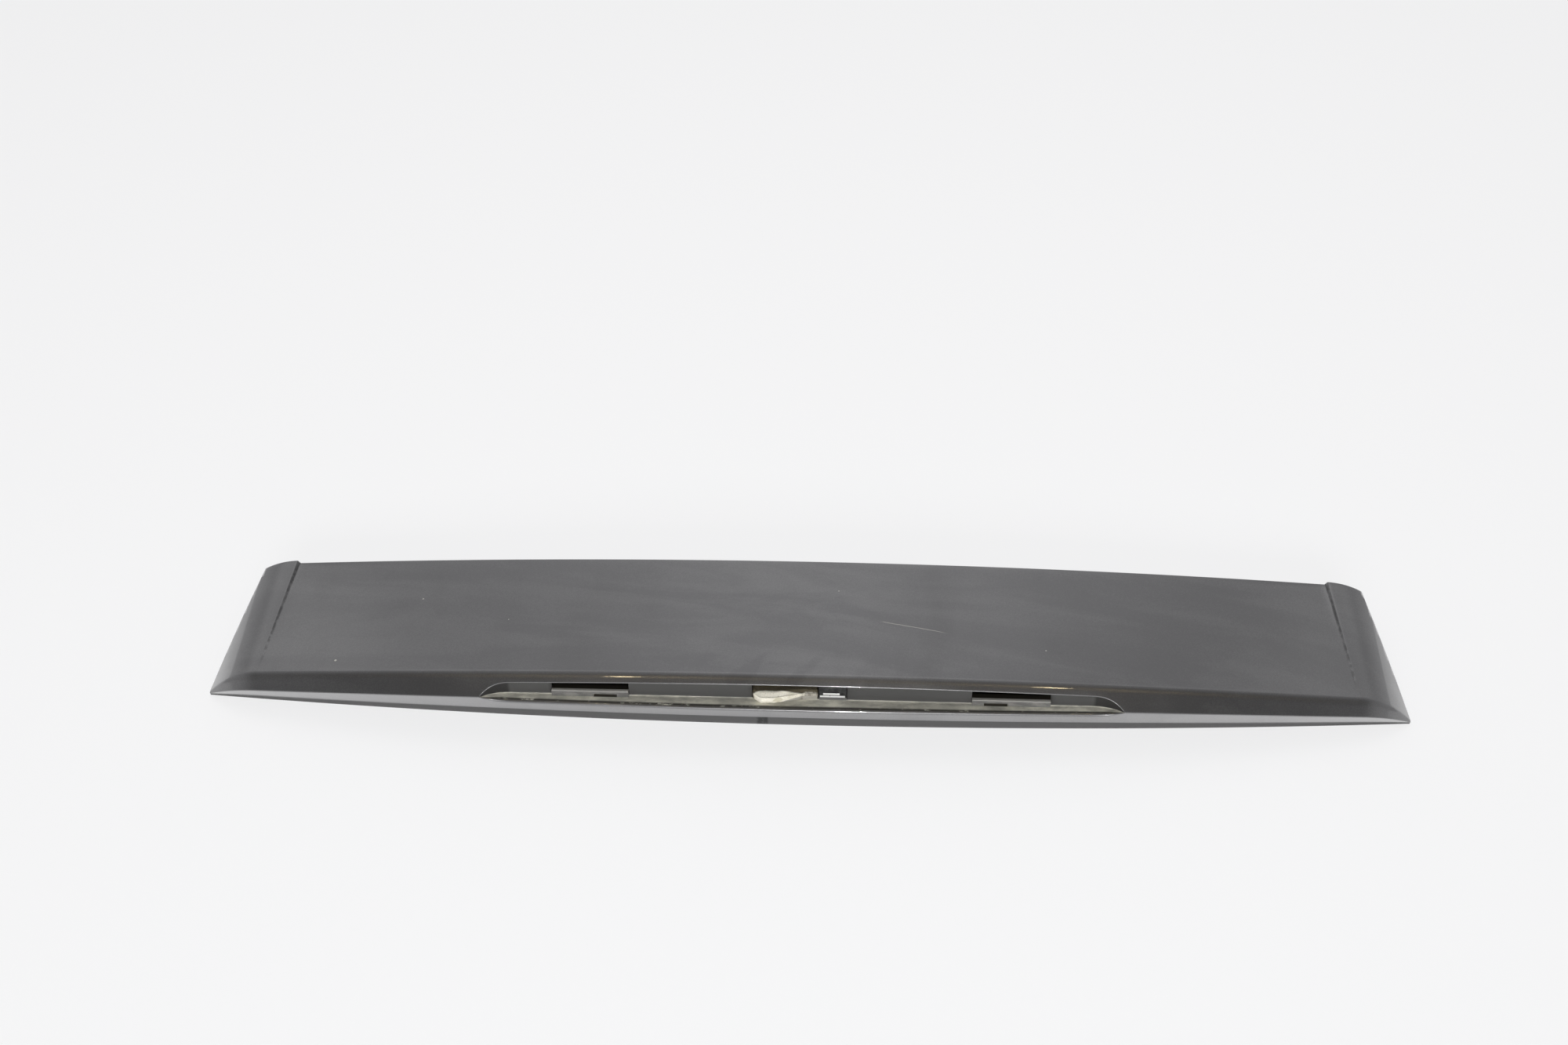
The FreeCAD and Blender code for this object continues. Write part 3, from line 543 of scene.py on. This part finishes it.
finish_node("lamp_catch_left", catch_plastic)
finish_node("lamp_catch_right", catch_plastic)

# Foam block
# A torn wedge of cream foam pushed into the left half of the centre window.
# It lies on the recess floor and is crushed thin towards its right end.
foam_low, foam_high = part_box("foam_block")
foam_reach = 0.0085
foam_height = 0.0116
# Along the block: its reach out of the back wall and its height, as shares of the full ones.
FOAM_TAPER = [(0.0, 0.1, 0.86), (0.12, 1.0, 0.97), (0.34, 1.0, 1.0), (0.76, 0.2, 0.97), (1.0, 0.13, 0.85)]


def foam_shares(along):
    for (start, *first), (end, *second) in zip(FOAM_TAPER, FOAM_TAPER[1:]):
        if along <= end + 0.001:
            step = (along - start) / (end - start)
            return [a + (b - a) * step for a, b in zip(first, second)]


foam_mesh = bmesh.new()
bmesh.ops.create_cube(foam_mesh, size=1)
bmesh.ops.subdivide_edges(foam_mesh, edges=foam_mesh.edges[:], cuts=29, use_grid_fill=True)
for vert in foam_mesh.verts:
    along, back, up = vert.co + Vector((0.5, 0.5, 0.5))
    x = foam_low.x + (foam_high.x - foam_low.x) * along
    reach, height = foam_shares(along)
    front = recess_back(x) - foam_reach * reach
    undercut = 0.0016 * smooth(1 - up * 2.5) * reach
    rounding = 1 - 0.24 * smooth(1 - back * 4) * up
    y = front + undercut + (foam_high.y - front - undercut) * back
    vert.co = (x, y, recess_floor(x) + 0.0004 + foam_height * height * up * rounding)
dent = Vector((-0.0195, recess_back(-0.02) - foam_reach, recess_floor(0.02) + 0.0045))
foam_mesh.normal_update()
for vert in foam_mesh.verts:
    lump = noise.fractal(vert.co * 130, 0.7, 2.0, 4)
    press = 0.0016 * smooth(1 - (vert.co - dent).length / 0.0065)
    vert.co -= vert.normal * (0.0005 + 0.0005 * max(-0.9, min(1.0, lump)) + press)
bmesh.ops.recalc_face_normals(foam_mesh, faces=foam_mesh.faces[:])
foam, shader, place = new_material("cream_foam", {"IOR": 1.4, "Roughness": 0.9})
pores = place.node("ShaderNodeTexVoronoi", {"Vector": place, "Scale": 900.0}, output="Distance")
stain = place.noise(70.0, 5.0, 0.6)
colour = stain.between(0.52, 0.78).mix((0.95, 0.91, 0.78, 1), (0.70, 0.65, 0.51, 1))
colour = pores.between(0.3, 0.05).mix(colour, (0.42, 0.38, 0.28, 1))
x, y, z = split(place)
soiled = (x + stain * 0.004).between(0.004, 0.008)
soil = place.noise(330.0, 4.0, 0.65).between(0.4, 0.6).mix((0.22, 0.20, 0.16, 1), (0.52, 0.49, 0.42, 1))
colour = soiled.mix(colour, soil)
above_floor = z - (x * x * floor_bow + recess_floor(0.0))
residue = above_floor - 0.0055 * x.between(-0.024, 0.003) + 0.002 * (stain - 0.5)
residue = residue.between(0.0006, -0.0006)
colour = (residue * x.between(-0.026, -0.02)).mix(colour, (0.40, 0.38, 0.33, 1))
# Painted shade: the foam is coloured darker in and round the dent.
off_dent = abs(x - dent.x) / 0.006 + abs(z - dent.z) / 0.006
colour = (off_dent + stain).between(1.5, 1.1).mix(colour, (0.70, 0.66, 0.51, 1))
shaded = (y - (x * x * wall_bow + recess_back(0.0)) - 0.002 * soiled).between(-0.0022, -0.0006)
colour = shaded.mix(colour, (0.10, 0.085, 0.055, 1))
feed(shader, {"Base Color": colour, "Normal": pores.bump(0.6, 0.0005)})
foam_piece = add_piece("foam_wedge", foam_mesh, foam, "foam_block")

# Connector block
# A glossy black moulding that fills the right half of the centre window, with two plain white bars.
# It is clipped in from behind.
block_low, block_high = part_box("connector_block")
block_mesh = bmesh.new()
bmesh.ops.create_cube(block_mesh, size=1)
bmesh.ops.scale(block_mesh, vec=block_high - block_low, verts=block_mesh.verts[:])
bmesh.ops.translate(block_mesh, vec=(block_low + block_high) / 2, verts=block_mesh.verts[:])
bmesh.ops.bevel(block_mesh, geom=block_mesh.edges[:], offset=0.0008, offset_type="OFFSET", segments=3,
                profile=0.5, affect="EDGES", material=-1)
black_gloss, shader, place = new_material("black_gloss", {"IOR": 1.5, "Specular IOR Level": 0.25})
x, y, z = split(place)
bar_height = 0.0026
bar_edge = 0.0003


def bar(middle, left, right):
    """A plain white bar across the block's face."""
    tall = abs(z - block_low.z - middle).between(bar_height / 2, bar_height / 2 - bar_edge)
    return tall * x.between(left, left + bar_edge) * x.between(right, right - bar_edge)


upper_bar = bar(0.0083, block_low.x + 0.004, block_low.x + 0.0195)
lower_bar = bar(0.0051, block_low.x + 0.001, block_high.x - 0.0015)
front = y.between(block_low.y + 0.0012, block_low.y + 0.0008)
smudge = place.noise(220.0, 5.0, 0.65)
band = (upper_bar + lower_bar) * front * smudge.between(0.25, 0.42)
grey_foot = z.between(block_low.z + 0.0036, block_low.z + 0.0032) * front
colour = smudge.between(0.35, 0.75).mix((0.012, 0.012, 0.013, 1), (0.05, 0.05, 0.048, 1))
colour = grey_foot.mix(colour, (0.17, 0.168, 0.16, 1))
feed(shader, {
    "Base Color": band.mix(colour, (0.80, 0.80, 0.78, 1)),
    "Roughness": 0.18 + 0.35 * smudge,
})
add_piece("connector", block_mesh, black_gloss, "connector_block")

# Inner shell
# A black polypropylene moulding bonded inside the skin's lower edge.
# It carries the bosses for the studs and clips, and its visible face has a fine grain.
shell_plastic, shader, place = new_material("black_moulding", {"IOR": 1.48})
grain = place.node("ShaderNodeTexVoronoi", {"Vector": place, "Scale": 1600.0}, output="Distance")
scuffs = place.stretched((0.4, 1.0, 1.0)).noise(24.0, 6.0, 0.6)
colour = scuffs.between(0.45, 0.78).mix((0.018, 0.018, 0.019, 1), (0.06, 0.059, 0.055, 1))
feed(shader, {
    "Base Color": colour,
    "Roughness": 0.5 + 0.25 * scuffs,
    "Normal": grain.bump(0.25, 0.0003),
})
finish_node("inner_shell", shell_plastic)

# Mounting studs
# Four zinc-plated steel studs, each headed into its boss, with a collar and a rolled thread.
steel, shader, place = new_material("plated_steel", {})
x, y, z = split(place)
brushed = place.stretched((1.0, 1.0, 6.0)).noise(400.0, 3.0)
tarnish = place.noise(160.0, 5.0, 0.6)
thread = z.math("PINGPONG", z, 0.0005) * 2000.0
colour = tarnish.between(0.4, 0.7).mix((0.62, 0.60, 0.53, 1), (0.44, 0.41, 0.33, 1))
feed(shader, {
    "Base Color": colour,
    "Metallic": 0.95 - 0.3 * tarnish.between(0.6, 0.8),
    "Roughness": 0.25 + 0.25 * brushed,
    "Normal": thread.bump(0.8, 0.0003),
})
finish_node("mounting_studs", steel)

# Stud seals, grommet and leading seal
# Die-cut pads, a moulded ring and an extruded strip in black rubber, pressed or glued in place.
rubber, shader, place = new_material("black_rubber", {"IOR": 1.52})
bloom = place.noise(110.0, 5.0, 0.6)
texture = place.noise(1500.0, 2.0)
colour = bloom.between(0.42, 0.75).mix((0.016, 0.016, 0.016, 1), (0.06, 0.06, 0.057, 1))
feed(shader, {
    "Base Color": colour,
    "Roughness": 0.7 + 0.2 * bloom,
    "Normal": texture.bump(0.3, 0.0002),
})
for name in ("stud_seals", "wiring_grommet", "leading_seal"):
    finish_node(name, rubber)

# Push clips
# Four moulded nylon clips, each a flat blade with an arrow-shaped end, pushed through a slot in its boss.
nylon, shader, place = new_material("white_nylon", {"IOR": 1.53})
yellowing = place.noise(60.0, 4.0, 0.55)
colour = yellowing.between(0.4, 0.7).mix((0.76, 0.74, 0.68, 1), (0.68, 0.63, 0.52, 1))
feed(shader, {"Base Color": colour, "Roughness": 0.38 + 0.2 * yellowing})
finish_node("push_clips", nylon)

# Floor
# A plain white table top that the wing tips rest on. It shows white to the camera and in gloss.
floor_radius = 14.0
floor_mesh = bmesh.new()
bmesh.ops.create_circle(floor_mesh, cap_ends=True, segments=96, radius=floor_radius)
floor_white, shader, place = new_material("table_white", {"Roughness": 1.0, "Specular IOR Level": 0.0})
cloud = place.noise(0.8, 2.0)
feed(shader, {"Base Color": cloud.mix((0.90, 0.90, 0.91, 1), (0.92, 0.92, 0.925, 1))})
tree = floor_white.node_tree
rays = Shade(tree)
is_camera = rays.node("ShaderNodeLightPath", output="Is Camera Ray")
is_glossy = rays.node("ShaderNodeLightPath", output="Is Glossy Ray")
is_transmission = rays.node("ShaderNodeLightPath", output="Is Transmission Ray")
seen = is_camera * 0.8 + is_glossy + is_transmission
glow = rays.node("ShaderNodeEmission", {"Color": (0.97, 0.97, 0.975, 1), "Strength": 1.0})
lit = Shade(tree, shader.outputs[0])
surface = rays.node("ShaderNodeMixShader", {0: seen, 1: lit, 2: glow})
output = tree.nodes["Material Output"]
tree.links.new(surface.socket, output.inputs["Surface"])
floor_data = bpy.data.meshes.new("table")
floor_mesh.to_mesh(floor_data)
floor_mesh.free()
floor_data.materials.append(floor_white)
table = bpy.data.objects.new("table", floor_data)
bpy.context.scene.collection.objects.link(table)

# Light
# A white room: bright towards the wall behind the leading edge, dimmer behind the camera.
# A soft box hangs above and one stands in front; three small lamps show only in the gloss.
world = bpy.data.worlds.new("white_room")
bpy.context.scene.world = world
world.use_nodes = True
tree = world.node_tree
room = Shade(tree)
way = room.node("ShaderNodeTexCoord", output="Generated")
x, y, z = split(way)
wall = y.between(-0.1, 0.62)
left_end = x.between(-0.04, -0.36)
right_end = x.between(0.06, 0.36)
ends = left_end * 0.75 + right_end
behind_camera = ends.mix((0.17, 0.17, 0.172, 1), (0.09, 0.09, 0.091, 1))
before_camera = ends.mix((0.74, 0.74, 0.755, 1), (0.43, 0.43, 0.439, 1))
lamp_row = y.between(0.48, 0.6) * y.between(0.78, 0.66) * z.between(0.3, 0.5) * (1 - 0.6 * ends)
light = wall.mix(behind_camera, lamp_row.mix(before_camera, (1.3, 1.3, 1.31, 1)))
side_walls = abs(x).between(0.6, 0.9)
light = side_walls.mix(light, (0.55, 0.55, 0.557, 1))
sky = room.node("ShaderNodeBackground", {"Color": light, "Strength": 1.0})
white = room.node("ShaderNodeBackground", {"Color": (0.93, 0.93, 0.94, 1), "Strength": 1.0})
is_camera = room.node("ShaderNodeLightPath", output="Is Camera Ray")
shown = room.node("ShaderNodeMixShader", {0: is_camera, 1: sky, 2: white})
tree.links.new(shown.socket, tree.nodes["World Output"].inputs["Surface"])


def soft_box(name, place, aim, width, depth, power, colour=(1, 1, 1)):
    """A flat lamp at a place, turned to its aim."""
    lamp = bpy.data.lights.new(name, "AREA")
    lamp.color = colour
    lamp.shape = "RECTANGLE"
    lamp.size = width
    lamp.size_y = depth
    lamp.energy = power
    holder = bpy.data.objects.new(name, lamp)
    holder.location = place
    holder.rotation_euler = (Vector(aim) - Vector(place)).to_track_quat("-Z", "Y").to_euler()
    bpy.context.scene.collection.objects.link(holder)
    return holder


warm_white = (1.0, 0.80, 0.48)
ceiling_box = soft_box("ceiling_box", (0.0, 0.5, 2.4), (0, 0, 0), 2.4, 1.2, 14)
ceiling_box.visible_glossy = False
front_box = soft_box("front_box", (0.0, -2.9, 1.2), (0, -0.1, 0.03), 2.4, 0.7, 14.5)
front_box.data.spread = math.radians(80)
front_box.visible_glossy = False
for name, lamp_place, size, power, colour in (
    ("left_bulb", (-0.80, -0.75, 2.4), 0.13, 2.8, warm_white),
    ("right_bulb", (0.97, -0.75, 2.4), 0.13, 2.8, warm_white),
    ("glint_lamp", (0.10, -2.0, 0.42), 0.1, 24, (1, 1, 1)),
):
    glint = soft_box(name, lamp_place, (0, -0.1, 0.06), size, size, power, colour)
    glint.visible_diffuse = False

# Camera
# It stands in front of the trailing edge and looks down on it.
eye = Vector((0.04173, -1.1169, 1.1341))
pitch, yaw, roll = math.radians(40), math.radians(-2.99), math.radians(0.80)
focal_pixels, image_width = 2043, 2000
ahead = Vector((math.sin(yaw) * math.cos(pitch), math.cos(yaw) * math.cos(pitch), -math.sin(pitch)))
level = Vector((math.cos(yaw), -math.sin(yaw), 0))
down = ahead.cross(level)
right = level * math.cos(roll) + down * math.sin(roll)
below = down * math.cos(roll) - level * math.sin(roll)
lens = bpy.data.cameras.new("camera")
lens.sensor_width = 36
lens.lens = focal_pixels / image_width * lens.sensor_width
camera = bpy.data.objects.new("camera", lens)
turned = Matrix((right, -below, -ahead)).transposed()
camera.matrix_world = Matrix.Translation(eye) @ turned.to_4x4()
bpy.context.scene.collection.objects.link(camera)
bpy.context.scene.camera = camera
bpy.context.scene.view_settings.view_transform = "Standard"
